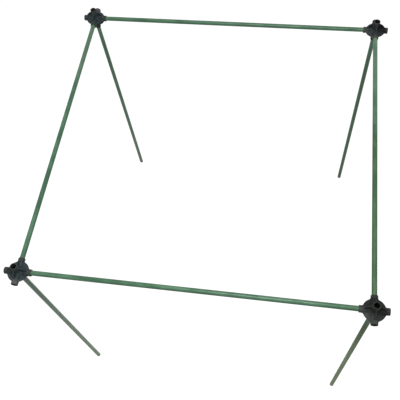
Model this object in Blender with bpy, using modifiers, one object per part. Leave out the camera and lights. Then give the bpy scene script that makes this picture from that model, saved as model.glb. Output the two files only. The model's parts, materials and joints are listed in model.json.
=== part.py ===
"""Fruit cage frame: eight coated steel tubes push into four six-way corner hubs.

Four bars make the square top and four legs stand below it. Every tube is closed
by a plug at each end, and the plug at the foot of a leg is what stands on the ground.
Metres, +Z up. The origin is on the ground, under the middle of the frame.
"""

import math

import bmesh
import bpy
from mathutils import Matrix, Vector

# Tubes
WIDTH_TUBE_LENGTH = 1.170
DEPTH_TUBE_LENGTH = 1.170
LEG_TUBE_LENGTH = 1.170
TUBE_DIAMETER = 0.018
TUBE_WALL = 0.0017

# End plugs
PLUG_HEAD_THICKNESS = 0.0026
PLUG_HEAD_OVERHANG = 0.0001
PLUG_HEAD_CHAMFER = 0.0007
PLUG_SHANK_LENGTH = 0.014
PLUG_SHANK_WALL = 0.0014
PLUG_SHANK_TAPER = 0.0003

# Corner hub
SOCKET_WALL = 0.0025
SOCKET_REACH = 0.049
SEAT_OFFSET = 0.0135
MOUTH_CHAMFER = 0.0006
MOUTH_LEAD_IN = 0.0006
WEB_RADIUS = 0.0386
WEB_THICKNESS = 0.0032
GRIP_RIB_COUNT = 4
GRIP_RIB_WIDTH = 0.0013
GRIP_RIB_HEIGHT = 0.0004

# Fits
FIT_CLEARANCE = 0.0003
SEAT_GAP = 0.0003

# Facets
TUBE_SEGMENTS = 32
PLUG_SEGMENTS = 20
SOCKET_SEGMENTS = 24
WEB_SEGMENTS = 48
STEPS_BETWEEN_RIBS = 6
CUTTER_OVERRUN = 0.002
MERGE = 0.00001

# What the sizes above give
TUBE_RADIUS = TUBE_DIAMETER / 2
TUBE_BORE_RADIUS = TUBE_RADIUS - TUBE_WALL
PLUG_HEAD_RADIUS = TUBE_RADIUS + PLUG_HEAD_OVERHANG
GRIP_RADIUS = PLUG_HEAD_RADIUS + FIT_CLEARANCE
SOCKET_BORE_RADIUS = GRIP_RADIUS + GRIP_RIB_HEIGHT
SOCKET_RADIUS = SOCKET_BORE_RADIUS + SOCKET_WALL
TUBE_END_GAP = PLUG_HEAD_THICKNESS + SEAT_GAP
TUBE_START = SEAT_OFFSET + SEAT_GAP + TUBE_END_GAP
HALF_WIDTH = WIDTH_TUBE_LENGTH / 2 + TUBE_START
HALF_DEPTH = DEPTH_TUBE_LENGTH / 2 + TUBE_START
HUB_HEIGHT = TUBE_START + LEG_TUBE_LENGTH + TUBE_END_GAP

# Turns that point a shape made along +Z to the right, to the front, down or up
TO_RIGHT = Matrix.Rotation(math.radians(90), 4, "Y")
TO_FRONT = Matrix.Rotation(math.radians(90), 4, "X")
DOWN = Matrix.Rotation(math.radians(180), 4, "X")
UP = Matrix.Identity(4)

COAT_GREEN = (0.090, 0.225, 0.120, 1.0)
COAT_ROUGHNESS = 0.38
HUB_BLACK = (0.022, 0.024, 0.025, 1.0)
HUB_ROUGHNESS = 0.55
PLUG_GREEN = (0.030, 0.060, 0.038, 1.0)
PLUG_ROUGHNESS = 0.5


def clear_scene():
    for thing in list(bpy.data.objects):
        bpy.data.objects.remove(thing)


def collection(name, parent):
    made = bpy.data.collections.new(name)
    parent.children.link(made)
    return made


def finish(name, colour, roughness):
    material = bpy.data.materials.new(name)
    material.use_nodes = True
    shader = material.node_tree.nodes["Principled BSDF"]
    shader.inputs["Base Color"].default_value = colour
    shader.inputs["Roughness"].default_value = roughness
    shader.inputs["Metallic"].default_value = 0.0
    material.diffuse_color = colour
    return material


def guide(name, mesh, home):
    """A hidden object that only shapes other pieces."""
    thing = bpy.data.objects.new(name, mesh)
    thing.hide_render = True
    thing.display_type = "WIRE"
    home.objects.link(thing)
    return thing


def turned(name, profile, segments, home, closed=False):
    """A solid of revolution about +Z. Its (radius, height) profile runs down its outer side."""
    mesh = bpy.data.meshes.new(name)
    outline = bmesh.new()
    corners = [outline.verts.new((radius, 0, height)) for radius, height in profile]
    for pair in zip(corners, corners[1:]):
        outline.edges.new(pair)
    if closed:
        outline.edges.new((corners[-1], corners[0]))
    outline.to_mesh(mesh)
    outline.free()
    thing = guide(name, mesh, home)
    screw = thing.modifiers.new("Turn", "SCREW")
    screw.axis = "Z"
    screw.angle = math.tau
    screw.steps = segments
    screw.render_steps = segments
    screw.use_merge_vertices = True
    screw.merge_threshold = MERGE
    return thing


def boolean(thing, operation, group):
    step = thing.modifiers.new(operation.title(), "BOOLEAN")
    step.operation = operation
    step.operand_type = "COLLECTION"
    step.collection = group


def finished_mesh(thing, name):
    """The mesh of an object with its modifiers carried out, shaded smooth on its round sides."""
    bpy.context.view_layer.update()
    graph = bpy.context.evaluated_depsgraph_get()
    mesh = bpy.data.meshes.new_from_object(thing.evaluated_get(graph))
    mesh.name = name
    mesh.shade_smooth()
    mesh.set_sharp_from_angle(angle=math.radians(30))
    return mesh


def socket_pair_profile():
    """Two sockets back to back, still solid, with chamfered ends."""
    return [
        (0, SOCKET_REACH),
        (SOCKET_RADIUS - MOUTH_CHAMFER, SOCKET_REACH),
        (SOCKET_RADIUS, SOCKET_REACH - MOUTH_CHAMFER),
        (SOCKET_RADIUS, -SOCKET_REACH + MOUTH_CHAMFER),
        (SOCKET_RADIUS - MOUTH_CHAMFER, -SOCKET_REACH),
        (0, -SOCKET_REACH),
    ]


def web_profile():
    half = WEB_THICKNESS / 2
    return [(0, half), (WEB_RADIUS, half), (WEB_RADIUS, -half), (0, -half)]


def lead_in_profile():
    """A cone that opens the mouth of a bore and fades out inside it."""
    top = SOCKET_REACH + CUTTER_OVERRUN
    flare = MOUTH_LEAD_IN + CUTTER_OVERRUN
    fade = GRIP_RIB_HEIGHT + MERGE
    return [
        (0, top),
        (SOCKET_BORE_RADIUS + flare, top),
        (SOCKET_BORE_RADIUS - fade, top - flare - fade),
        (0, top - flare - fade),
    ]


def bore_outline():
    """The bore seen down its axis: round, with grip ribs standing inwards."""
    half_rib = math.asin(GRIP_RIB_WIDTH / 2 / SOCKET_BORE_RADIUS)
    points = []
    for rib in range(GRIP_RIB_COUNT):
        middle = math.tau * (rib + 0.5) / GRIP_RIB_COUNT
        for side in (-1, 1):
            tip = Vector((GRIP_RADIUS, side * GRIP_RIB_WIDTH / 2, SEAT_OFFSET))
            points.append(Matrix.Rotation(middle, 3, "Z") @ tip)
        span = math.tau / GRIP_RIB_COUNT - 2 * half_rib
        for step in range(STEPS_BETWEEN_RIBS + 1):
            angle = middle + half_rib + span * step / STEPS_BETWEEN_RIBS
            rim = Vector((SOCKET_BORE_RADIUS, 0, SEAT_OFFSET))
            points.append(Matrix.Rotation(angle, 3, "Z") @ rim)
    return points


def bore_cutter(name, home):
    """The bore from its flat seat out past the socket's mouth."""
    mesh = bpy.data.meshes.new(name)
    shape = bmesh.new()
    seat = shape.faces.new([shape.verts.new(point) for point in bore_outline()])
    seat.normal_flip()
    raised = bmesh.ops.extrude_face_region(shape, geom=[seat], use_keep_orig=True)
    top = [item for item in raised["geom"] if isinstance(item, bmesh.types.BMVert)]
    bmesh.ops.translate(shape, vec=(0, 0, SOCKET_REACH + CUTTER_OVERRUN - SEAT_OFFSET), verts=top)
    bmesh.ops.recalc_face_normals(shape, faces=shape.faces)
    shape.to_mesh(mesh)
    shape.free()
    return guide(name, mesh, home)


def facet_turn(share):
    """A turn by a share of one facet, which keeps crossing sockets from meeting edge on edge."""
    return Matrix.Rotation(math.tau / SOCKET_SEGMENTS * share, 4, "Z")


def hub_mesh(cutters):
    """One moulded hub about its own centre: three crossing socket pairs, three webs and six bores."""
    added = collection("Hub additions", cutters)
    bores = collection("Hub bores", cutters)
    blank = turned("hub_blank", socket_pair_profile(), SOCKET_SEGMENTS, cutters)
    for axis, turn, share in (("x", TO_RIGHT, 1 / 3), ("y", TO_FRONT, 2 / 3)):
        pair = turned(f"socket_pair_{axis}", socket_pair_profile(), SOCKET_SEGMENTS, added)
        pair.matrix_world = turn @ facet_turn(share)
    for axis, turn in (("x", TO_RIGHT), ("y", TO_FRONT), ("z", UP)):
        web = turned(f"web_{axis}", web_profile(), WEB_SEGMENTS, added)
        web.matrix_world = turn
        for side, flip in (("out", UP), ("back", DOWN)):
            bore_cutter(f"bore_{axis}_{side}", bores).matrix_world = turn @ flip
            lead_in = turned(f"lead_in_{axis}_{side}", lead_in_profile(), SOCKET_SEGMENTS, bores)
            lead_in.matrix_world = turn @ flip
    boolean(blank, "UNION", added)
    boolean(blank, "DIFFERENCE", bores)
    return finished_mesh(blank, "hub")


def tube_mesh(name, length, cutters):
    """The wall of a tube, centred on its own middle."""
    half = length / 2
    profile = [
        (TUBE_BORE_RADIUS, half),
        (TUBE_RADIUS, half),
        (TUBE_RADIUS, -half),
        (TUBE_BORE_RADIUS, -half),
    ]
    return finished_mesh(turned(f"{name}_wall", profile, TUBE_SEGMENTS, cutters, closed=True), name)


def plug_mesh(cutters):
    """An end plug: a head that covers the tube's end, from height 0 up, over a hollow shank."""
    shank = TUBE_BORE_RADIUS - FIT_CLEARANCE
    shank_end = shank - PLUG_SHANK_TAPER
    hollow = shank_end - PLUG_SHANK_WALL
    profile = [
        (0, PLUG_HEAD_THICKNESS),
        (PLUG_HEAD_RADIUS - PLUG_HEAD_CHAMFER, PLUG_HEAD_THICKNESS),
        (PLUG_HEAD_RADIUS, PLUG_HEAD_THICKNESS - PLUG_HEAD_CHAMFER),
        (PLUG_HEAD_RADIUS, 0),
        (shank, 0),
        (shank_end, -PLUG_SHANK_LENGTH),
        (hollow, -PLUG_SHANK_LENGTH),
        (hollow, 0),
        (0, 0),
    ]
    return finished_mesh(turned("plug_section", profile, PLUG_SEGMENTS, cutters), "plug")


class Frame:
    """Places the pieces. Each one hangs on the piece that it comes off when the frame is pulled apart."""

    def __init__(self, home, cutters):
        self.home = home
        self.hub = hub_mesh(cutters)
        self.plug = plug_mesh(cutters)
        self.hub.materials.append(finish("Black moulded plastic", HUB_BLACK, HUB_ROUGHNESS))
        self.plug.materials.append(finish("Dark green plug", PLUG_GREEN, PLUG_ROUGHNESS))
        self.coat = finish("Green tube coating", COAT_GREEN, COAT_ROUGHNESS)
        self.tubes = {}
        lengths = {"width": WIDTH_TUBE_LENGTH, "depth": DEPTH_TUBE_LENGTH, "leg": LEG_TUBE_LENGTH}
        for kind, length in lengths.items():
            mesh = tube_mesh(f"{kind}_tube", length, cutters)
            mesh.materials.append(self.coat)
            self.tubes[kind] = mesh, length

    def place(self, name, mesh, parent, matrix):
        """Puts a piece, or an empty where mesh is None, at a place given in its parent's axes."""
        thing = bpy.data.objects.new(name, mesh)
        self.home.objects.link(thing)
        thing.parent = parent
        thing.matrix_local = matrix
        return thing

    def corner(self, name, parent, matrix):
        """A hub and the leg under it, on an empty at the hub's centre."""
        centre = self.place(f"{name}_corner", None, parent, matrix)
        self.place(f"{name}_hub", self.hub, centre, UP)
        self.tube(f"{name}_leg", "leg", centre, DOWN, "top", "foot")
        return centre

    def tube(self, name, kind, corner, turn, near, far):
        """A tube that starts in a corner's socket, with a plug in each end."""
        mesh, length = self.tubes[kind]
        tube = self.place(name, mesh, corner, turn @ Matrix.Translation((0, 0, TUBE_START + length / 2)))
        end = Matrix.Translation((0, 0, length / 2 + SEAT_GAP))
        self.place(f"{name}_{near}_plug", self.plug, tube, DOWN @ end)
        self.place(f"{name}_{far}_plug", self.plug, tube, end)
        return tube

    def far_corner(self, name, tube, kind, turn):
        """The corner at the far end of a bar, standing level again."""
        reach = self.tubes[kind][1] / 2 + TUBE_START
        return self.corner(name, tube, Matrix.Translation((0, 0, reach)) @ turn.inverted())


def build():
    clear_scene()
    scene_root = bpy.context.scene.collection
    frame = Frame(collection("Fruit cage", scene_root), collection("Cutters and guides", scene_root))
    rear_left = frame.corner("rear_left", None, Matrix.Translation((-HALF_WIDTH, HALF_DEPTH, HUB_HEIGHT)))
    rear_bar = frame.tube("rear_bar", "width", rear_left, TO_RIGHT, "left", "right")
    rear_right = frame.far_corner("rear_right", rear_bar, "width", TO_RIGHT)
    right_bar = frame.tube("right_bar", "depth", rear_right, TO_FRONT, "rear", "front")
    frame.far_corner("front_right", right_bar, "depth", TO_FRONT)
    left_bar = frame.tube("left_bar", "depth", rear_left, TO_FRONT, "rear", "front")
    front_left = frame.far_corner("front_left", left_bar, "depth", TO_FRONT)
    frame.tube("front_bar", "width", front_left, TO_RIGHT, "left", "right")


build()
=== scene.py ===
"""Looks of a fruit cage frame: green coated tubes, moulded corner hubs and end plugs."""

import json
import math

import bmesh
import bpy
from bpy.props import FloatProperty, FloatVectorProperty, IntProperty, PointerProperty
from bpy.types import Operator, Panel, PropertyGroup
from mathutils import Matrix, Vector

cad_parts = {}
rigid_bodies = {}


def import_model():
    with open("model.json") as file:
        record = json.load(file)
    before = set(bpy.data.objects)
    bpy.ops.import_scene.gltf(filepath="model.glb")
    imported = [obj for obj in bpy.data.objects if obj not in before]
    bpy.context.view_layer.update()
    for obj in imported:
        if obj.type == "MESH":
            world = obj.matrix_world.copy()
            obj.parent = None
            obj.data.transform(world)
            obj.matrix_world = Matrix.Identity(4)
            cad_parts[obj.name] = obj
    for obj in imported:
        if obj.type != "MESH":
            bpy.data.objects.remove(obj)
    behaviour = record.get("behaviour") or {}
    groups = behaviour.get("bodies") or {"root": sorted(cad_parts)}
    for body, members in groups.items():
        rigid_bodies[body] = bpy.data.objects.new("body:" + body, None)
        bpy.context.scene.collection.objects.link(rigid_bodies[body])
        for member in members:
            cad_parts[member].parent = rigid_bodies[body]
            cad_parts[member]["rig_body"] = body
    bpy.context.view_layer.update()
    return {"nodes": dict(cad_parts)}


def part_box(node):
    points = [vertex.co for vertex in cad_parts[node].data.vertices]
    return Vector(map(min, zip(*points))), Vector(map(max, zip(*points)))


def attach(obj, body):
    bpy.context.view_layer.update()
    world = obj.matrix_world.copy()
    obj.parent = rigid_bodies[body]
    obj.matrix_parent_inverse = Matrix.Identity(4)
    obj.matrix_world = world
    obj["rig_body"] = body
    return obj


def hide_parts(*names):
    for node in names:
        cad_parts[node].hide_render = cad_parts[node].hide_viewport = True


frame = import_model()

bl_info = {
    "name": "Fruit Cage",
    "version": (1, 0, 0),
    "blender": (4, 5, 0),
    "location": "View3D > Sidebar > Fruit Cage",
    "description": "Builds the visible pieces of a push-fit garden frame on its packed model",
    "category": "Add Mesh",
}

CORNERS = ("front_left", "front_right", "rear_left", "rear_right")
BARS = ("front_bar", "rear_bar", "left_bar", "right_bar")
LEGS = tuple(f"{corner}_leg" for corner in CORNERS)

# What the meshes keep at each point for their materials.
LOCAL_PLACE = "local_place"
END_DISTANCE = "end_distance"

# Sockets of the Mix node that hold colours.
MIX_COLOURS = (6, 7)
MIX_RESULT = 2
WHITE = (1.0, 1.0, 1.0, 1.0)
# Width of the camera's sensor, in millimetres.
SENSOR_WIDTH = 36.0

# Points closer than a thousandth of a millimetre are one point.
MERGE_DISTANCE = 1e-6
# A socket's mouth is a little sharper than the other edges of the moulding.
MOUTH_SHARE = 0.8
# Faces along a bore's wall from one rib to the next.
BORE_STEPS = 16
FULL_TURN = math.tau
ABOUT_Z = Matrix.Identity(4)
TO_X = Matrix.Rotation(math.radians(90), 4, "Y")
TO_Y = Matrix.Rotation(math.radians(-90), 4, "X")
TURNED_OVER = Matrix.Rotation(math.radians(180), 4, "X")


def middle(node):
    """The middle of a CAD node's box."""
    low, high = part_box(node)
    return (low + high) / 2


def span(node):
    """How far a CAD node's box reaches along X, Y and Z."""
    low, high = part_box(node)
    return high - low


HUB_REACH = span("front_left_hub").z / 2
HUB_SPACING = (middle("front_right_hub") - middle("front_left_hub")).length
HALF_SPACING = HUB_SPACING / 2
HUB_HEIGHT = middle("front_left_hub").z
TUBE_RADIUS = span("front_left_leg").x / 2
PLUG_RADIUS = span("front_left_leg_foot_plug").x / 2
PLUG_LENGTH = span("front_left_leg_foot_plug").z


class TubeSettings(PropertyGroup):
    """Sizes and colours of the bars and legs."""

    wall: FloatProperty(
        name="Wall", description="Thickness of steel and coat together",
        default=0.0017, unit="LENGTH",
    )
    coat: FloatProperty(
        name="Coat", description="Thickness of the plastic coat",
        default=0.0010, unit="LENGTH",
    )
    end_rounding: FloatProperty(
        name="End rounding", description="Radius of the coat's edge at each end",
        default=0.00035, unit="LENGTH",
    )
    ring_spacing: FloatProperty(
        name="Ring spacing", description="Distance between the rings of faces",
        default=0.045, unit="LENGTH",
    )
    segments: IntProperty(name="Segments", description="Faces around a tube", default=48)
    coat_colour: FloatVectorProperty(
        name="Coat colour", description="Green of the plastic coat",
        default=(0.058, 0.168, 0.088), subtype="COLOR", min=0, max=1,
    )
    worn_colour: FloatVectorProperty(
        name="Scuffed coat", description="Paler green where the coat is scuffed or bleached",
        default=(0.19, 0.34, 0.22), subtype="COLOR", min=0, max=1,
    )
    # Also painted light: this pale film makes the legs lighter low down, in front and on the left.
    soil_colour: FloatVectorProperty(
        name="Soil film", description="Pale green grey of the coat under a film of dry soil",
        default=(0.52, 0.66, 0.48), subtype="COLOR", min=0, max=1,
    )
    damp_soil_colour: FloatVectorProperty(
        name="Damp soil film", description="Pale olive of the same film on the damp leg",
        default=(0.49, 0.62, 0.40), subtype="COLOR", min=0, max=1,
    )
    spatter_colour: FloatVectorProperty(
        name="Spatter", description="Grey brown of dried soil that rain has splashed up",
        default=(0.27, 0.25, 0.18), subtype="COLOR", min=0, max=1,
    )
    soil_height: FloatProperty(
        name="Soil height", description="Height at which the film of soil has faded out",
        default=1.1, unit="LENGTH",
    )
    spatter_height: FloatProperty(
        name="Spatter height", description="Height that the spatter reaches",
        default=0.4, unit="LENGTH",
    )
    scuff_start: FloatProperty(
        name="Scuff start", description="Distance from an end up to which the scuffs are strongest",
        default=0.016, unit="LENGTH",
    )
    scuff_end: FloatProperty(
        name="Scuff end", description="Distance from an end at which they have faded to a few",
        default=0.075, unit="LENGTH",
    )
    gloss: FloatProperty(
        name="Gloss", description="Share of the light that it mirrors, with 0.5 for clear plastic",
        default=0.3, subtype="FACTOR",
    )
    film_colour: FloatVectorProperty(
        name="Olive film", description="Thin growth on the corner that stands in the damp",
        default=(0.038, 0.088, 0.024), subtype="COLOR", min=0, max=1,
    )
    steel_colour: FloatVectorProperty(
        name="Steel", description="Bare steel of the bore",
        default=(0.42, 0.43, 0.44), subtype="COLOR", min=0, max=1,
    )


class HubSettings(PropertyGroup):
    """Sizes and colours of the corner hubs."""

    socket_radius: FloatProperty(
        name="Socket radius", description="Outer radius of a socket",
        default=0.0123, unit="LENGTH",
    )
    bore_radius: FloatProperty(
        name="Bore radius", description="Radius of a socket's bore between its ribs",
        default=0.0098, unit="LENGTH",
    )
    seat: FloatProperty(
        name="Seat", description="From the hub's centre to the flat end of a bore",
        default=0.0135, unit="LENGTH",
    )
    lead_in: FloatProperty(
        name="Lead-in", description="Width of the chamfer at a bore's mouth",
        default=0.0006, unit="LENGTH",
    )
    rib_height: FloatProperty(
        name="Rib height", description="How far a grip rib stands into the bore",
        default=0.0004, unit="LENGTH",
    )
    rib_width: FloatProperty(
        name="Rib width", description="Width of a grip rib",
        default=0.0013, unit="LENGTH",
    )
    rib_count: IntProperty(name="Ribs", description="Grip ribs in a bore", default=4)
    web_radius: FloatProperty(
        name="Web radius", description="Radius of a round web",
        default=0.0386, unit="LENGTH",
    )
    web_thickness: FloatProperty(
        name="Web thickness", description="Thickness of a round web",
        default=0.0032, unit="LENGTH",
    )
    edge_rounding: FloatProperty(
        name="Edge rounding", description="Radius of the moulding's outer edges",
        default=0.0009, unit="LENGTH",
    )
    skin_step: FloatProperty(
        name="Skin step", description="Size of the faces that blend webs and sockets",
        default=0.00065, unit="LENGTH",
    )
    fillet: FloatProperty(
        name="Fillet", description="Radius of the hollow fillets between webs and sockets",
        default=0.006, unit="LENGTH",
    )
    fillet_step: FloatProperty(
        name="Fillet step", description="Size of the faces that first make the fillets",
        default=0.0011, unit="LENGTH",
    )
    socket_segments: IntProperty(name="Socket segments", description="Faces around a socket", default=96)
    web_segments: IntProperty(name="Web segments", description="Faces around a web", default=160)
    kept_faces: FloatProperty(
        name="Kept faces", description="Share of the blended faces that are kept",
        default=0.28, subtype="FACTOR",
    )
    plastic_colour: FloatVectorProperty(
        name="Plastic", description="Near-black plastic of the mouldings",
        default=(0.0290, 0.0445, 0.0490), subtype="COLOR", min=0, max=1,
    )
    handled_colour: FloatVectorProperty(
        name="Handled plastic", description="Warm grey of the socket ends, which hands and tubes rub",
        default=(0.055, 0.055, 0.045), subtype="COLOR", min=0, max=1,
    )
    # Painted shade: darker plastic laid over the right hubs, so that they look darker than the left
    # ones.
    right_shade_colour: FloatVectorProperty(
        name="Sheltered plastic", description="Darker plastic of the hubs that the sun has faded least",
        default=(0.0155, 0.0215, 0.0225), subtype="COLOR", min=0, max=1,
    )
    film_colour: FloatVectorProperty(
        name="Olive film", description="Thin growth on the corner that stands in the damp",
        default=(0.0185, 0.0220, 0.0150), subtype="COLOR", min=0, max=1,
    )
    # Chalk, and also a painted highlight on the upward sides of the left hubs' outer sockets.
    chalk_and_highlight_colour: FloatVectorProperty(
        name="Chalky plastic", description="Pale grey of plastic that the sun has turned chalky",
        default=(0.15, 0.148, 0.148), subtype="COLOR", min=0, max=1,
    )
    # Painted shade: near black laid behind the webs of the right hubs and deep in the bores.
    painted_shade_colour: FloatVectorProperty(
        name="Bore", description="Plastic that never sees the sun, in the bores and behind the webs",
        default=(0.006, 0.006, 0.006), subtype="COLOR", min=0, max=1,
    )
    gloss: FloatProperty(
        name="Gloss", description="Share of the light that it mirrors, with 0.5 for clear plastic",
        default=0.1, subtype="FACTOR",
    )
    dust_colour: FloatVectorProperty(
        name="Dust", description="Pale grey of dust and of rubbed edges",
        default=(0.12, 0.13, 0.128), subtype="COLOR", min=0, max=1,
    )


class PlugSettings(PropertyGroup):
    """Sizes and colours of the end plugs."""

    head_thickness: FloatProperty(
        name="Head thickness", description="Thickness of the head over the tube's end",
        default=0.0026, unit="LENGTH",
    )
    head_rounding: FloatProperty(
        name="Head rounding", description="Radius of the head's outer edge",
        default=0.0009, unit="LENGTH",
    )
    dimple: FloatProperty(
        name="Dimple", description="Depth of the dimple in the middle of the head",
        default=0.000312, unit="LENGTH",
    )
    shank_radius: FloatProperty(
        name="Shank radius", description="Radius of the shank between its fins",
        default=0.0064, unit="LENGTH",
    )
    fin_radius: FloatProperty(
        name="Fin radius", description="Radius of the fins that grip the tube's bore",
        default=0.0070, unit="LENGTH",
    )
    fin_count: IntProperty(name="Fins", description="Fins along the shank", default=4)
    shank_wall: FloatProperty(
        name="Shank wall", description="Wall of the hollow shank",
        default=0.0013, unit="LENGTH",
    )
    segments: IntProperty(name="Segments", description="Faces around a plug", default=48)
    gloss: FloatProperty(
        name="Gloss", description="Share of the light that it mirrors, with 0.5 for clear plastic",
        default=0.25, subtype="FACTOR",
    )
    plastic_colour: FloatVectorProperty(
        name="Plastic", description="Dark green of the plugs",
        default=(0.035, 0.062, 0.042), subtype="COLOR", min=0, max=1,
    )
    soil_colour: FloatVectorProperty(
        name="Soil", description="Dry soil on what stands on the ground",
        default=(0.16, 0.14, 0.11), subtype="COLOR", min=0, max=1,
    )
    soil_height: FloatProperty(
        name="Soil height", description="Height at which the soil ends",
        default=0.004, unit="LENGTH",
    )


class StageSettings(PropertyGroup):
    """Camera, light and floor."""

    camera_place: FloatVectorProperty(
        name="Camera place", description="Where the camera stands",
        default=(0.2830, -1.2284, 3.0288), subtype="TRANSLATION", unit="LENGTH", precision=4,
    )
    camera_turn: FloatVectorProperty(
        name="Camera turn", description="The camera's turn about X, Y and Z",
        default=(math.radians(28.454), math.radians(4.761), math.radians(8.145)),
        subtype="EULER", unit="ROTATION",
    )
    lens: FloatProperty(name="Lens", description="Focal length, in millimetres", default=52.43)
    floor_size: FloatProperty(
        name="Floor size", description="Side of the square floor",
        default=24.0, unit="LENGTH",
    )
    floor_colour: FloatVectorProperty(
        name="Floor", description="Pale floor as it lights the frame",
        default=(0.5, 0.5, 0.5), subtype="COLOR", min=0, max=1,
    )
    shadow_colour: FloatVectorProperty(
        name="Shadow floor", description="What the camera sees under the white, with the shadow",
        default=(0.3, 0.3, 0.3), subtype="COLOR", min=0, max=1,
    )
    floor_glow: FloatProperty(
        name="Floor white", description="White that the camera sees beside what the light gives",
        default=0.93, subtype="FACTOR",
    )
    sky: FloatProperty(
        name="Sky", description="Strength of the even light from all around",
        default=0.25, subtype="FACTOR",
    )
    lamp: FloatProperty(name="Lamp", description="Power of the round soft lamp, in watts", default=48.0)
    lamp_width: FloatProperty(
        name="Lamp width", description="How wide the lamp is",
        default=1.1, unit="LENGTH",
    )
    lamp_place: FloatVectorProperty(
        name="Lamp place", description="Where the lamp hangs, facing down",
        default=(0.2, -0.6, 3.6), subtype="TRANSLATION", unit="LENGTH",
    )


class FruitCageSettings(PropertyGroup):
    """Everything that a user can set, group by group."""

    tubes: PointerProperty(type=TubeSettings)
    hubs: PointerProperty(type=HubSettings)
    plugs: PointerProperty(type=PlugSettings)
    stage: PointerProperty(type=StageSettings)


# Outlines and turned shapes


def rounded(corners, radii, steps=4):
    """An open outline of (radius, height) corners, with an arc at each inner one that has a radius."""
    points = [Vector(corners[0])]
    for before, at, after, radius in zip(corners, corners[1:], corners[2:], radii):
        at = Vector(at)
        if not radius:
            points.append(at)
            continue
        back = (Vector(before) - at).normalized()
        onward = (Vector(after) - at).normalized()
        half = back.angle(onward) / 2
        centre = at + (back + onward).normalized() * radius / math.sin(half)
        start = at + back * radius / math.tan(half) - centre
        swing = back.angle_signed(onward)
        sweep = math.copysign(math.pi - 2 * half, swing)
        for step in range(steps + 1):
            points.append(centre + Matrix.Rotation(sweep * step / steps, 2) @ start)
    points.append(Vector(corners[-1]))
    return points


def ring_section(inner, outer, half, rounding):
    """The outline of a ring or, where inner is 0, of a disc, with rounded outer edges."""
    corners = [(inner, half), (outer, half), (outer, -half), (inner, -half)]
    return rounded(corners, [rounding, rounding])


def spin(shape, outline, segments, turn=ABOUT_Z, closed=False):
    """Turns an outline once round +Z inside a bmesh, then turns the shape to its axis."""
    older = set(shape.verts)
    ring = [shape.verts.new((point.x, 0, point.y)) for point in outline]
    edges = [shape.edges.new(pair) for pair in zip(ring, ring[1:])]
    if closed:
        edges.append(shape.edges.new((ring[-1], ring[0])))
    bmesh.ops.spin(
        shape, geom=ring + edges, cent=(0, 0, 0), axis=(0, 0, 1),
        angle=FULL_TURN, steps=segments, use_merge=True,
    )
    newer = [vert for vert in shape.verts if vert not in older]
    bmesh.ops.transform(shape, matrix=turn, verts=newer)


def closed_mesh(shape, name, crease=30):
    """Closes a bmesh's poles and seams, turns its faces outwards and makes it a mesh."""
    bmesh.ops.remove_doubles(shape, verts=shape.verts, dist=MERGE_DISTANCE)
    bmesh.ops.recalc_face_normals(shape, faces=shape.faces)
    mesh = bpy.data.meshes.new(name)
    shape.to_mesh(mesh)
    shape.free()
    mesh.shade_smooth()
    mesh.set_sharp_from_angle(angle=math.radians(crease))
    return mesh


def note_local_places(mesh, shift=0.0):
    """Keeps each point's place in the piece's own axes, for patterns that follow its shape."""
    places = mesh.attributes.new(LOCAL_PLACE, "FLOAT_VECTOR", "POINT")
    for vert, item in zip(mesh.vertices, places.data):
        item.vector = vert.co + Vector((0, 0, shift))


def new_object(name, data):
    """An object in the scene's own collection."""
    thing = bpy.data.objects.new(name, data)
    bpy.context.scene.collection.objects.link(thing)
    return thing


def add_piece(name, mesh, matrix, material):
    """Puts a piece where the CAD node of that name is, in its place and on its body."""
    mesh.transform(matrix)
    mesh.materials.clear()
    mesh.materials.append(material)
    piece = new_object(f"{name}_finish", mesh)
    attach(piece, frame["nodes"][name]["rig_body"])
    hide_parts(name)


# Materials


class Nodes:
    """A material's or world's nodes, with short calls for those that are used most."""

    def __init__(self, owner):
        owner.use_nodes = True
        self.tree = owner.node_tree

    def node(self, kind, inputs=None, **settings):
        """A new node with these settings, and with what its inputs are fed."""
        made = self.tree.nodes.new(kind)
        for key, value in settings.items():
            setattr(made, key, value)
        self.feed(made, inputs or {})
        return made

    def feed(self, node, inputs):
        """Links each input to another node's output, or sets its own number or colour."""
        for key, value in inputs.items():
            if isinstance(value, bpy.types.NodeSocket):
                self.tree.links.new(value, node.inputs[key])
            else:
                node.inputs[key].default_value = value

    def math(self, operation, first, second=0.0, clamp=False):
        """A number worked out from one or two others."""
        inputs = {0: first, 1: second}
        return self.node("ShaderNodeMath", inputs, operation=operation, use_clamp=clamp).outputs[0]

    def seen_directly(self):
        """1 for what the camera sees, in a gloss or through glass too, and 0 for light that bounces."""
        path = self.node("ShaderNodeLightPath")
        seen = path.outputs["Is Camera Ray"]
        for name in ("Is Glossy Ray", "Is Transmission Ray"):
            seen = self.math("MAXIMUM", seen, path.outputs[name])
        return seen

    def show(self, output, lighting, seen):
        """Ends the tree in an output with one shader for what lights and one for what is seen."""
        shaders = {0: self.seen_directly(), 1: lighting.outputs[0], 2: seen.outputs[0]}
        choice = self.node("ShaderNodeMixShader", shaders)
        self.node(output, {"Surface": choice.outputs[0]})


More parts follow.
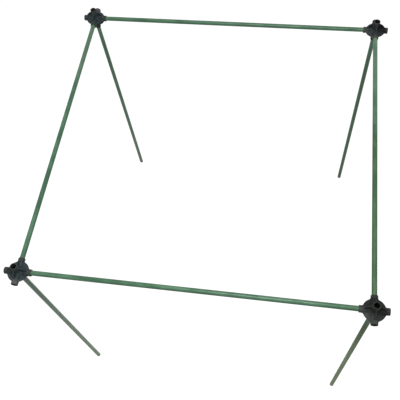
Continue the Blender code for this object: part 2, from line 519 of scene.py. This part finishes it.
class Recipe(Nodes):
    """A material, with calls for the patterns, shares and colours that it is mixed from."""

    def __init__(self, name):
        self.material = bpy.data.materials.new(name)
        super().__init__(self.material)
        self.shader = self.tree.nodes["Principled BSDF"]

    def own_place(self):
        """Place in the whole frame, which gives each piece a pattern of its own."""
        return self.node("ShaderNodeTexCoord").outputs["Object"]

    def attribute(self, name, output):
        """What the mesh keeps under a name at each of its points."""
        return self.node("ShaderNodeAttribute", attribute_name=name).outputs[output]

    def parts(self, vector):
        """The X, Y and Z of a place or a direction."""
        made = self.node("ShaderNodeSeparateXYZ", {"Vector": vector})
        return [made.outputs[axis] for axis in "XYZ"]

    def length(self, first, second, third=0.0):
        """How far a place is from the middle, from its parts."""
        joined = self.node("ShaderNodeCombineXYZ", {"X": first, "Y": second, "Z": third})
        made = self.node("ShaderNodeVectorMath", {0: joined.outputs[0]}, operation="LENGTH")
        return made.outputs["Value"]

    def upwards(self):
        """How far the surface faces up, from -1 to 1."""
        return self.parts(self.node("ShaderNodeNewGeometry").outputs["Normal"])[2]

    def drawn_out(self, place, pace):
        """A place that goes along Z at this pace only, so that a pattern on it is drawn out."""
        inputs = {"Vector": place, "Scale": (1.0, 1.0, pace)}
        return self.node("ShaderNodeMapping", inputs).outputs["Vector"]

    def noise(self, place, scale, detail, roughness=0.5, distortion=0.0):
        """Noise from 0 to 1, with about as many blotches to a metre as scale."""
        shape = {"Scale": scale, "Detail": detail, "Roughness": roughness, "Distortion": distortion}
        return self.node("ShaderNodeTexNoise", {"Vector": place, **shape}).outputs["Fac"]

    def fade(self, value, start, end, low=0.0, high=1.0):
        """low where value is start, high where it is end, and a soft step between them."""
        inputs = {"Value": value, "From Min": start, "From Max": end, "To Min": low, "To Max": high}
        made = self.node("ShaderNodeMapRange", inputs, interpolation_type="SMOOTHSTEP")
        return made.outputs["Result"]

    def times(self, first, *others):
        """All of them multiplied."""
        for other in others:
            first = self.math("MULTIPLY", first, other)
        return first

    def inverse(self, share):
        """What a share leaves over of 1."""
        return self.math("SUBTRACT", 1.0, share)

    def on_right(self, across):
        """1 along the right side of the frame, from a place across it, and 0 elsewhere."""
        return self.fade(across, HUB_SPACING * 0.4, HUB_SPACING * 0.49)

    def damp_side(self, across, depth):
        """1 on the front part of the right side, where an olive film has grown, and 0 elsewhere."""
        in_front = self.fade(depth, HUB_SPACING * 0.2, 0.0)
        return self.times(self.on_right(across), in_front)

    def mix(self, share, first, second):
        """first where share is 0, second where it is 1, and blended between them."""
        made = self.node("ShaderNodeMix", {"Factor": share}, data_type="RGBA")
        for place, colour in zip(MIX_COLOURS, (first, second)):
            linked = isinstance(colour, bpy.types.NodeSocket)
            self.feed(made, {place: colour if linked else (*colour, 1.0)})
        return made.outputs[MIX_RESULT]

    def mottled(self, share, colour, darkest, palest):
        """A colour between darkest times and palest times itself."""
        deep = [channel * darkest for channel in colour]
        pale = [channel * palest for channel in colour]
        return self.mix(share, deep, pale)

    def layered(self, colour, *layers):
        """A colour under layers of (colour, share) or (colour, share, weight), the lowest first."""
        for over, *shares in layers:
            colour = self.mix(self.times(*shares), colour, over)
        return colour

    def roughened(self, rough, *layers):
        """A roughness that each (layer, more) pair raises, up to 1."""
        for layer, more in layers:
            rough = self.math("ADD", rough, self.times(layer, more), clamp=True)
        return rough

    def bump(self, height, depth, strength, under=None):
        """The normal of a relief this deep, on top of the relief under it."""
        inputs = {"Height": height, "Distance": depth, "Strength": strength}
        if under is not None:
            inputs["Normal"] = under
        return self.node("ShaderNodeBump", inputs).outputs["Normal"]

    def surface(self, colour, roughness, normal, gloss, metallic=0.0):
        """The finished material."""
        inputs = {
            "Base Color": colour,
            "Roughness": roughness,
            "Normal": normal,
            "Specular IOR Level": gloss,
            "Metallic": metallic,
        }
        self.feed(self.shader, inputs)
        return self.material


class CoatRecipe(Recipe):
    """The layers on a tube's coat. Each call gives how much of its layer is at a point."""

    def __init__(self, look):
        super().__init__("Green plastic coat")
        self.look = look
        self.own = self.own_place()
        self.local = self.attribute(LOCAL_PLACE, "Vector")
        self.across, self.depth, self.height = self.parts(self.own)
        self.draw_lines = self.noise(self.drawn_out(self.local, 0.008), scale=1400.0, detail=2.0)
        self.mottle = self.noise(self.drawn_out(self.local, 0.35), scale=55.0, detail=4.0)
        long_place = self.drawn_out(self.local, 0.03)
        self.streaks = self.noise(long_place, scale=420.0, detail=4.0, roughness=0.65)
        self.shade = self.fade(self.mottle, 0.35, 0.7)
        self.damp = self.damp_side(self.across, self.depth)
        self.on_leg = self.fade(self.height, HUB_HEIGHT * 0.97, HUB_HEIGHT * 0.85)

    def scuffed(self):
        """Streaks of wear near the ends, and fainter and fewer between them."""
        from_end = self.attribute(END_DISTANCE, "Fac")
        near_end = self.fade(from_end, self.look.scuff_end, self.look.scuff_start)
        near_end = self.times(near_end, self.fade(self.streaks, 0.55, 0.68))
        anywhere = self.fade(self.streaks, 0.66, 0.74, high=0.5)
        return self.math("MAXIMUM", near_end, anywhere)

    def scratched(self):
        """Fine scratches along the draw lines, in patches."""
        patches = self.fade(self.mottle, 0.4, 0.6, low=0.1, high=0.45)
        return self.times(self.fade(self.draw_lines, 0.6, 0.72), patches)

    def bleached(self):
        """Side bars that grow paler towards the rear."""
        on_side = self.on_right(self.math("ABSOLUTE", self.across))
        towards_rear = self.fade(self.depth, HUB_SPACING * 0.05, HUB_SPACING * 0.4, high=0.4)
        return self.times(on_side, self.inverse(self.on_leg), towards_rear)

    def filmed(self):
        """Olive film on the damp side, thickest on its leg, and thinner on the other right leg, where
        the film also paints shade.
        """
        patches = self.fade(self.mottle, 0.3, 0.7, low=0.85, high=1.0)
        thickness = self.fade(self.on_leg, 0.0, 1.0, low=0.65, high=0.95)
        # Painted shade too: a thin film that darkens both right legs.
        right_legs_film_and_shade = self.times(self.on_right(self.across), self.on_leg, 0.45)
        return self.math("MAXIMUM", self.times(self.damp, patches, thickness), right_legs_film_and_shade)

    def soiled(self):
        """Film of soil, thicker low down, in front and on the left, and all the way up the damp leg;
        being pale, where it is thicker it also paints light on the legs.
        """
        blotches = self.noise(self.own, scale=24.0, detail=6.0, roughness=0.65)
        patches = self.fade(blotches, 0.38, 0.62, low=0.6, high=1.0)
        patches = self.times(patches, self.fade(self.streaks, 0.35, 0.65, low=0.8, high=1.1))
        low_down = self.fade(self.height, self.look.soil_height, 0.0)
        in_front = self.fade(self.depth, -HALF_SPACING, HALF_SPACING, low=1.0, high=0.2)
        on_left = self.fade(self.across, -HALF_SPACING, HALF_SPACING, low=1.0, high=0.3)
        up_the_leg = self.fade(self.height, HUB_HEIGHT * 0.98, HUB_HEIGHT * 0.45)
        damp_patches = self.fade(patches, 0.6, 1.0, low=0.8, high=1.0)
        on_damp_leg = self.times(self.damp, up_the_leg, damp_patches)
        return self.math("MAXIMUM", self.times(low_down, patches, in_front, on_left), on_damp_leg)

    def spattered(self):
        """Specks of dried soil, fewer and fainter the higher they are."""
        specks = self.noise(self.own, scale=330.0, detail=2.0)
        specks = self.math("SUBTRACT", specks, self.times(self.height, 0.22))
        fainter = self.fade(self.height, self.look.spatter_height, 0.0, high=0.6)
        return self.times(fainter, self.fade(specks, 0.56, 0.6))

    def settled(self):
        """Dust on what faces up."""
        return self.times(self.fade(self.upwards(), 0.35, 1.0), self.shade)

    def bare(self):
        """1 where the coat ends and steel shows, and 0 on the coat."""
        from_axis = self.length(*self.parts(self.local)[:2])
        return self.math("LESS_THAN", from_axis, TUBE_RADIUS - self.look.coat)


def coat_material(look):
    """Satin green plastic over steel, with draw lines, wear, soil and an olive film; the pale soil also
    paints light on the legs, and the film paints shade on the right legs.
    """
    coat = CoatRecipe(look)
    scuffed, filmed, soiled = coat.scuffed(), coat.filmed(), coat.soiled()
    spattered, bare = coat.spattered(), coat.bare()

    colour = coat.layered(
        coat.mottled(coat.shade, look.coat_colour, darkest=0.84, palest=1.14),
        (look.worn_colour, scuffed, 0.6),
        (look.worn_colour, coat.scratched()),
        (look.worn_colour, coat.bleached()),
        # Olive film; on the right legs it also paints shade.
        (look.film_colour, filmed),
        # Soil film, which also paints light on the lower, front and left legs.
        (coat.mix(coat.damp, look.soil_colour, look.damp_soil_colour), soiled),
        (look.spatter_colour, spattered),
        (look.soil_colour, coat.settled(), 0.08),
        (look.steel_colour, bare),
    )

    rough = coat.fade(coat.draw_lines, 0.3, 0.7, low=0.27, high=0.35)
    rough = coat.roughened(rough, (scuffed, 0.2), (filmed, 0.35), (soiled, 0.4), (spattered, 0.5))
    pebbles = coat.noise(coat.local, scale=620.0, detail=2.0)
    relief = coat.bump(coat.draw_lines, depth=0.00004, strength=0.7)
    relief = coat.bump(pebbles, depth=0.00003, strength=0.6, under=relief)
    relief = coat.bump(spattered, depth=0.0001, strength=0.6, under=relief)
    return coat.surface(colour, rough, relief, look.gloss, metallic=bare)


class HubRecipe(Recipe):
    """The layers on a hub's plastic, with painted shade and painted highlights among them. Each call
    gives how much of its layer is at a point.
    """

    def __init__(self, look):
        super().__init__("Black moulded plastic")
        self.look = look
        self.own = self.own_place()
        self.across, self.depth, _ = self.parts(self.own)
        local = self.parts(self.attribute(LOCAL_PLACE, "Vector"))
        self.to_right, self.to_rear, _ = local
        self.sides = [self.math("ABSOLUTE", side) for side in local]
        self.from_centre = self.length(*self.sides)
        longer = self.math("MAXIMUM", self.sides[0], self.sides[1])
        self.furthest = self.math("MAXIMUM", longer, self.sides[2])
        self.flow = self.noise(self.own, scale=60.0, detail=5.0, roughness=0.55, distortion=0.8)
        self.blotches = self.noise(self.own, scale=110.0, detail=4.0, roughness=0.55)
        # From 0 on the left to 1 on the right, and from 0 in front to 1 at the rear.
        self.towards_right = self.fade(self.across, -HALF_SPACING / 2, HALF_SPACING / 2)
        self.on_rear = self.fade(self.depth, -HALF_SPACING, HALF_SPACING)
        # Rearwards and half as much to the right, which is where the painted shade lies; the painted
        # highlight lies the other way.
        self.behind = self.math("ADD", self.to_rear, self.times(self.to_right, 0.5))

    def handled(self):
        """Socket ends, which hands and tubes rub."""
        web = self.look.web_radius
        before, after = 0.003, 0.004
        past_webs = self.fade(self.furthest, web - before, web + after)
        return self.times(past_webs, self.fade(self.flow, 0.25, 0.7, low=0.45, high=1.0))

    def scratched(self):
        """Fine scratches, in patches."""
        scratches = self.noise(self.drawn_out(self.own, 0.12), scale=900.0, detail=3.0)
        patches = self.fade(self.flow, 0.45, 0.65, low=0.05, high=0.4)
        return self.times(self.fade(scratches, 0.6, 0.68), patches)

    def rubbed(self):
        """Chipped wear on the webs' rims and round the mouths."""
        web, edge = self.look.web_radius, self.look.edge_rounding
        at_rim = self.fade(self.from_centre, web - edge * 1.6, web)
        on_socket = self.math("GREATER_THAN", self.from_centre, web + edge)
        at_rim = self.times(at_rim, self.inverse(on_socket))
        at_mouth = self.fade(self.furthest, HUB_REACH - edge * 1.2, HUB_REACH)
        chips = self.noise(self.own, scale=700.0, detail=4.0, roughness=0.7)
        chipped = self.fade(chips, 0.38, 0.62, low=0.25, high=1.0)
        return self.times(self.math("MAXIMUM", at_rim, at_mouth), chipped)

    def dusty(self):
        """Dust on what faces up."""
        lint = self.noise(self.own, scale=240.0, detail=5.0, roughness=0.65)
        uneven = self.fade(lint, 0.3, 0.7, low=0.45, high=1.0)
        return self.times(self.fade(self.upwards(), 0.55, 1.0), uneven)

    def filmed(self):
        """Olive film on the hub at the damp corner."""
        uneven = self.fade(self.flow, 0.3, 0.7, low=0.25, high=0.75)
        return self.times(self.damp_side(self.across, self.depth), uneven)

    def chalky(self):
        """Chalk on the outer sockets of the left hubs, palest where they face up, which is also a
        painted highlight there, and chalk in a few spots anywhere.
        """
        web = self.look.web_radius
        outwards = self.times(self.to_rear, self.math("SIGN", self.depth))
        # Chalk, weighted to the lit upward sides as a painted highlight.
        chalk_where_lit = self.times(
            self.fade(outwards, web * 0.6, web * 1.1),
            self.math("LESS_THAN", self.across, 0.0),
            self.fade(self.upwards(), -0.3, 0.6),
            self.fade(self.on_rear, 0.0, 1.0, low=0.8, high=1.15),
            self.fade(self.blotches, 0.3, 0.6, low=0.45, high=0.95),
        )
        return self.math("MAXIMUM", chalk_where_lit, self.fade(self.blotches, 0.5, 0.75, high=0.3))

    def shaded(self, handled):
        """Painted shade on the rear of the right hubs, behind their webs, but not on their socket ends.
        """
        web = self.look.web_radius
        return self.times(
            self.fade(self.behind, web * -0.4, web * 0.2),
            self.inverse(handled),
            self.fade(self.on_rear, 0.0, 1.0, low=0.5, high=1.0),
            self.towards_right,
        )

    def painted_highlight(self):
        """Painted highlight in front on the right hubs, most of it on their left."""
        web = self.look.web_radius
        return self.times(
            self.fade(self.behind, web * -0.1, web * -0.9),
            self.fade(self.to_right, web * 0.4, web * -0.4, low=0.2, high=1.0),
            self.fade(self.blotches, 0.35, 0.65, low=0.15, high=0.4),
            self.towards_right,
        )

    def painted_bore_shade(self):
        """Painted shade deep in the bores: 1 at their seats, 0 at their mouths and 0 outside."""
        *level, upright = self.sides
        to_axis = self.length(*level)
        for side in level:
            to_axis = self.math("MINIMUM", to_axis, self.length(side, upright))
        inner_radius = self.look.bore_radius + self.look.edge_rounding / 3
        inside = self.math("LESS_THAN", to_axis, inner_radius)
        return self.times(inside, self.fade(self.furthest, HUB_REACH, self.look.seat))

    def mould_line(self):
        """The line, 0.4 mm wide, that the mould's halves leave round the middle of the hub."""
        return self.fade(self.sides[2], 0.00022, 0.00008)


def hub_material(look):
    """Near-black plastic, dusty, rubbed and scratched, with chalk and a painted highlight on the left
    hubs, a painted highlight in front on the right hubs, and painted shade that darkens the right hubs,
    their rears and the bores.
    """
    hub = HubRecipe(look)
    handled, rubbed, dusty = hub.handled(), hub.rubbed(), hub.dusty()

    colour = hub.layered(
        hub.mottled(hub.fade(hub.flow, 0.3, 0.75), look.plastic_colour, darkest=0.65, palest=1.45),
        # Painted shade: the right hubs darker.
        (look.right_shade_colour, hub.towards_right, 0.9),
        (look.handled_colour, handled),
        (look.dust_colour, hub.scratched()),
        (look.dust_colour, rubbed, 0.25),
        (look.dust_colour, dusty, 0.2),
        (look.film_colour, hub.filmed()),
        # Chalk, with a painted highlight on the left hubs' outer sockets.
        (look.chalk_and_highlight_colour, hub.chalky()),
        # Painted shade behind the webs of the right hubs.
        (look.painted_shade_colour, hub.shaded(handled)),
        # Painted highlight in front on the right hubs, in the dust colour.
        (look.dust_colour, hub.painted_highlight()),
        # Painted shade deep in the bores.
        (look.painted_shade_colour, hub.painted_bore_shade()),
    )

    rough = hub.fade(hub.flow, 0.3, 0.75, low=0.42, high=0.55)
    rough = hub.roughened(rough, (dusty, 0.2), (rubbed, 0.1))
    grain = hub.noise(hub.own, scale=1500.0, detail=2.0)
    relief = hub.bump(hub.mould_line(), depth=0.00006, strength=0.8)
    relief = hub.bump(grain, depth=0.00005, strength=0.55, under=relief)
    return hub.surface(colour, rough, relief, look.gloss)


def plug_material(look):
    """Dull dark green plastic, with soil on what stands on the ground."""
    plug = Recipe("Dark green plug plastic")
    own = plug.own_place()
    height = plug.parts(own)[2]
    patches = plug.noise(own, scale=320.0, detail=5.0, roughness=0.6)

    standing = plug.fade(height, look.soil_height, 0.0)
    soiled = plug.times(standing, plug.fade(patches, 0.42, 0.62, high=0.45))
    green = plug.mottled(plug.fade(patches, 0.3, 0.7), look.plastic_colour, darkest=0.8, palest=1.3)
    colour = plug.layered(green, (look.soil_colour, soiled))

    rough = plug.fade(patches, 0.3, 0.7, low=0.5, high=0.66)
    grain = plug.noise(own, scale=1300.0, detail=2.0)
    relief = plug.bump(grain, depth=0.00005, strength=0.5)
    return plug.surface(colour, rough, relief, look.gloss)


# Pieces


def tube_axis(node):
    """The turn that lays +Z along a tube, and its length."""
    size = list(span(node))
    length = max(size)
    turns = TO_X, TO_Y, ABOUT_Z
    return turns[size.index(length)], length


def tube_mesh(name, length, look):
    """A tube about its own middle, ringed along its length, with softened coat edges."""
    half = length / 2
    ends = ring_section(TUBE_RADIUS - look.wall, TUBE_RADIUS, half, look.end_rounding)
    half_way = len(ends) // 2
    gaps = 2 * round(length / look.ring_spacing / 2)
    sides = [Vector((TUBE_RADIUS, half - length * ring / gaps)) for ring in range(1, gaps)]
    shape = bmesh.new()
    spin(shape, ends[:half_way] + sides + ends[half_way:], look.segments, closed=True)
    mesh = closed_mesh(shape, name)
    to_end = mesh.attributes.new(END_DISTANCE, "FLOAT", "POINT")
    for vert, item in zip(mesh.vertices, to_end.data):
        item.value = half - abs(vert.co.z)
    return mesh


def plug_mesh(look):
    """An end plug: a domed head from height 0 up, over a hollow shank with gripping fins."""
    shank_end = look.head_thickness - PLUG_LENGTH
    hollow = look.shank_radius - look.shank_wall
    edge = look.head_rounding / 3
    head = [
        (0, look.head_thickness - look.dimple),
        (look.shank_wall, look.head_thickness - look.dimple),
        (look.shank_wall + look.dimple, look.head_thickness),
        (PLUG_RADIUS, look.head_thickness),
        (PLUG_RADIUS, 0),
        (look.shank_radius, 0),
    ]
    outline = rounded(head, [0, 0, look.head_rounding, edge])
    pitch = -shank_end / (look.fin_count + 1)
    rise = look.fin_radius - look.shank_radius
    for fin in range(1, look.fin_count + 1):
        root = -pitch * fin
        outline += [
            Vector((look.shank_radius, root + rise)),
            Vector((look.fin_radius, root + rise / 2)),
            Vector((look.shank_radius, root - rise * 1.5)),
        ]
    floor = -look.shank_wall
    inside = [(look.shank_radius, shank_end), (hollow, shank_end), (hollow, floor), (0, floor)]
    outline += rounded(inside, [edge, look.head_rounding])
    shape = bmesh.new()
    spin(shape, outline, look.segments)
    return closed_mesh(shape, "plug")


def evaluated_mesh(thing):
    """The mesh that an object's modifiers give. The object keeps it and loses them."""
    bpy.context.view_layer.update()
    graph = bpy.context.evaluated_depsgraph_get()
    mesh = bpy.data.meshes.new_from_object(thing.evaluated_get(graph))
    thing.modifiers.clear()
    thing.data = mesh
    return mesh


def hub_blank(look):
    """Three webs and three socket pairs through one another, each with rounded edges."""
    mouth_rounding = look.edge_rounding * MOUTH_SHARE
    socket = ring_section(0, look.socket_radius, HUB_REACH, mouth_rounding)
    web = ring_section(0, look.web_radius, look.web_thickness / 2, look.edge_rounding)
    shape = bmesh.new()
    for turn in (ABOUT_Z, TO_X, TO_Y):
        spin(shape, socket, look.socket_segments, turn)
        spin(shape, web, look.web_segments, turn)
    return closed_mesh(shape, "hub_blank")


def modify(thing, kind, **settings):
    """Puts one more modifier on an object."""
    modifier = thing.modifiers.new(kind, kind)
    for key, value in settings.items():
        setattr(modifier, key, value)


def reskin(thing, face_size):
    """Wraps everything in an object's mesh, laps and all, in one skin of even faces."""
    modify(thing, "REMESH", mode="VOXEL", voxel_size=face_size)


def soften(thing):
    """Evens out the steps that a new skin has."""
    modify(thing, "SMOOTH", iterations=3)


def swell(thing, distance):
    """Moves the skin outwards, or inwards where the distance is negative."""
    modify(thing, "DISPLACE", mid_level=0.0, strength=distance)


def fillet_mesh(blank, look):
    """The blank with its hollows filled to a radius, a little under its own skin elsewhere."""
    sunk = look.skin_step / 6
    filled = new_object("hub_fillets", blank)
    reskin(filled, look.fillet_step)
    swell(filled, look.fillet)
    reskin(filled, look.fillet_step)
    soften(filled)
    swell(filled, -look.fillet - sunk)
    mesh = evaluated_mesh(filled)
    bpy.data.objects.remove(filled)
    return mesh


def blended_hub(look):
    """The moulding before it is bored: webs and sockets in one skin, thinned out."""
    blank = hub_blank(look)
    both = bmesh.new()
    both.from_mesh(blank)
    both.from_mesh(fillet_mesh(blank, look))
    both.to_mesh(blank)
    both.free()
    hub = new_object("hub_blank", blank)
    reskin(hub, look.skin_step)
    soften(hub)
    modify(hub, "DECIMATE", ratio=look.kept_faces)
    evaluated_mesh(hub)
    return hub


def bore_mesh(look):
    """What a bore takes away: a round hole with grip ribs standing in, from its seat past the mouth."""
    grip = look.bore_radius - look.rib_height
    half_rib = math.asin(look.rib_width / 2 / look.bore_radius)
    between = FULL_TURN / look.rib_count - 2 * half_rib
    wall = Vector((look.bore_radius, 0, look.seat))
    shape = bmesh.new()
    ring = []
    for rib in range(look.rib_count):
        at = FULL_TURN * (rib + 0.5) / look.rib_count
        for side in (-1, 1):
            tip = Vector((grip, side * look.rib_width / 2, look.seat))
            ring.append(shape.verts.new(Matrix.Rotation(at, 3, "Z") @ tip))
        for step in range(BORE_STEPS + 1):
            angle = at + half_rib + between * step / BORE_STEPS
            ring.append(shape.verts.new(Matrix.Rotation(angle, 3, "Z") @ wall))
    seat = shape.faces.new(ring)
    raised = bmesh.ops.extrude_face_region(shape, geom=[seat], use_keep_orig=True)
    top = [item for item in raised["geom"] if isinstance(item, bmesh.types.BMVert)]
    past = HUB_REACH + look.edge_rounding * 2
    bmesh.ops.translate(shape, vec=(0, 0, past - look.seat), verts=top)
    return closed_mesh(shape, "bore")


def lead_in_mesh(look):
    """The chamfer at a bore's mouth, as a cone that fades out behind the ribs."""
    past = look.edge_rounding * 2
    wide = look.lead_in + past
    fade = look.rib_height
    cone = [
        Vector((0, HUB_REACH + past)),
        Vector((look.bore_radius + wide, HUB_REACH + past)),
        Vector((look.bore_radius - fade, HUB_REACH - look.lead_in - fade)),
        Vector((0, HUB_REACH - look.lead_in - fade)),
    ]
    shape = bmesh.new()
    spin(shape, cone, look.socket_segments)
    return closed_mesh(shape, "lead_in")


def bore_cutters(look):
    """A bore and its lead-in in each of the six sockets, in a collection of their own."""
    cutters = bpy.data.collections.new("Hub bores")
    bpy.context.scene.collection.children.link(cutters)
    tools = bore_mesh(look), lead_in_mesh(look)
    for turn in (ABOUT_Z, TO_X, TO_Y):
        for flip in (ABOUT_Z, TURNED_OVER):
            for tool in tools:
                cutter = bpy.data.objects.new(tool.name, tool)
                cutter.matrix_world = turn @ flip
                cutters.objects.link(cutter)
    return cutters


def hub_mesh(look):
    """The whole moulding, with its six ribbed bores."""
    hub = blended_hub(look)
    cutters = bore_cutters(look)
    modify(hub, "BOOLEAN", operation="DIFFERENCE", operand_type="COLLECTION", collection=cutters)
    mesh = evaluated_mesh(hub)
    for thing in (*cutters.objects, hub):
        bpy.data.objects.remove(thing)
    bpy.data.collections.remove(cutters)
    bored = bmesh.new()
    bored.from_mesh(mesh)
    bmesh.ops.dissolve_degenerate(bored, edges=bored.edges, dist=MERGE_DISTANCE)
    return closed_mesh(bored, "hub", crease=40)


# Stage


def lay_floor(stage):
    """A flat square at height 0, under the feet."""
    shape = bmesh.new()
    bmesh.ops.create_grid(shape, x_segments=1, y_segments=1, size=stage.floor_size / 2)
    mesh = bpy.data.meshes.new("floor")
    shape.to_mesh(mesh)
    shape.free()
    mesh.materials.append(floor_material(stage))
    floor = new_object("floor", mesh)


def floor_material(stage):
    """Pale floor that bounces light plainly and looks white, with the frame's shadow still on it."""
    material = bpy.data.materials.new("Pale floor")
    floor = Nodes(material)
    floor.tree.nodes.clear()
    plain = floor.node("ShaderNodeBsdfDiffuse", {"Color": (*stage.floor_colour, 1.0)})
    shaded = floor.node("ShaderNodeBsdfDiffuse", {"Color": (*stage.shadow_colour, 1.0)})
    white = floor.node("ShaderNodeEmission", {"Strength": stage.floor_glow})
    both = floor.node("ShaderNodeAddShader", {0: shaded.outputs[0], 1: white.outputs[0]})
    floor.show("ShaderNodeOutputMaterial", plain, both)
    return material


def light_sky(stage):
    """Even light from all around, white where the camera sees it."""
    world = bpy.data.worlds.new("Studio")
    sky = Nodes(world)
    sky.tree.nodes.clear()
    around = sky.node("ShaderNodeBackground", {"Color": WHITE, "Strength": stage.sky})
    white = sky.node("ShaderNodeBackground", {"Color": WHITE})
    sky.show("ShaderNodeOutputWorld", around, white)
    bpy.context.scene.world = world


def hang_lamp(stage):
    """A round soft lamp that the camera doesn't see, facing down."""
    lamp = bpy.data.lights.new("lamp", "AREA")
    lamp.shape = "DISK"
    lamp.size = stage.lamp_width
    lamp.energy = stage.lamp
    thing = new_object("lamp", lamp)
    thing.location = stage.lamp_place
    thing.visible_camera = False


def stand_camera(stage):
    """The photograph's point of view."""
    data = bpy.data.cameras.new("camera")
    data.sensor_fit = "HORIZONTAL"
    data.sensor_width = SENSOR_WIDTH
    data.lens = stage.lens
    camera = new_object("camera", data)
    camera.location = stage.camera_place
    camera.rotation_euler = stage.camera_turn
    bpy.context.scene.camera = camera


# Operators


class FRUITCAGE_OT_tubes(Operator):
    """Build the bars and legs"""

    bl_idname = "fruit_cage.tubes"
    bl_label = "Build Tubes"

    def execute(self, context):
        look = context.scene.fruit_cage.tubes
        coat = coat_material(look)
        for number, node in enumerate(BARS + LEGS):
            turn, length = tube_axis(node)
            mesh = tube_mesh(node, length, look)
            note_local_places(mesh, shift=number * 2 * length)
            add_piece(node, mesh, Matrix.Translation(middle(node)) @ turn, coat)
        return {"FINISHED"}


class FRUITCAGE_OT_plugs(Operator):
    """Build the plug in each end of each tube"""

    bl_idname = "fruit_cage.plugs"
    bl_label = "Build Plugs"

    def execute(self, context):
        look = context.scene.fruit_cage.plugs
        plastic = plug_material(look)
        pattern = plug_mesh(look)
        for node in sorted(frame["nodes"]):
            if not node.endswith("_plug"):
                continue
            tube = next(name for name in BARS + LEGS if node.startswith(name))
            outwards = middle(node) - middle(tube)
            facing = outwards.to_track_quat("Z", "Y").to_matrix().to_4x4()
            end = middle(node) + outwards.normalized() * (PLUG_LENGTH / 2 - look.head_thickness)
            matrix = Matrix.Translation(end) @ facing
            add_piece(node, pattern.copy(), matrix, plastic)
        bpy.data.meshes.remove(pattern)
        return {"FINISHED"}


class FRUITCAGE_OT_hubs(Operator):
    """Build the four corner hubs"""

    bl_idname = "fruit_cage.hubs"
    bl_label = "Build Hubs"

    def execute(self, context):
        look = context.scene.fruit_cage.hubs
        plastic = hub_material(look)
        pattern = hub_mesh(look)
        note_local_places(pattern)
        for corner in CORNERS:
            node = f"{corner}_hub"
            matrix = Matrix.Translation(middle(node))
            add_piece(node, pattern.copy(), matrix, plastic)
        bpy.data.meshes.remove(pattern)
        return {"FINISHED"}


class FRUITCAGE_OT_stage(Operator):
    """Set up the floor, the light and the camera"""

    bl_idname = "fruit_cage.stage"
    bl_label = "Set Up Stage"

    def execute(self, context):
        stage = context.scene.fruit_cage.stage
        lay_floor(stage)
        light_sky(stage)
        hang_lamp(stage)
        stand_camera(stage)
        context.scene.view_settings.view_transform = "Standard"
        return {"FINISHED"}


class FRUITCAGE_PT_sidebar(Panel):
    """Each group of settings, over the button that builds with them"""

    bl_label = "Fruit Cage"
    bl_space_type = "VIEW_3D"
    bl_region_type = "UI"
    bl_category = "Fruit Cage"

    def draw(self, context):
        for group, operator in STEPS.items():
            settings = getattr(context.scene.fruit_cage, group)
            box = self.layout.box()
            for name in settings.__annotations__:
                box.prop(settings, name)
            box.operator(operator.bl_idname)


STEPS = {
    "tubes": FRUITCAGE_OT_tubes,
    "plugs": FRUITCAGE_OT_plugs,
    "hubs": FRUITCAGE_OT_hubs,
    "stage": FRUITCAGE_OT_stage,
}
CLASSES = (
    TubeSettings, HubSettings, PlugSettings, StageSettings, FruitCageSettings,
    *STEPS.values(), FRUITCAGE_PT_sidebar,
)


def register():
    for cls in CLASSES:
        bpy.utils.register_class(cls)
    bpy.types.Scene.fruit_cage = PointerProperty(type=FruitCageSettings)


def unregister():
    del bpy.types.Scene.fruit_cage
    for cls in reversed(CLASSES):
        bpy.utils.unregister_class(cls)


def main():
    """Builds everything."""
    register()
    bpy.ops.fruit_cage.tubes()
    bpy.ops.fruit_cage.plugs()
    bpy.ops.fruit_cage.hubs()
    bpy.ops.fruit_cage.stage()


if __name__ == "__main__":
    main()
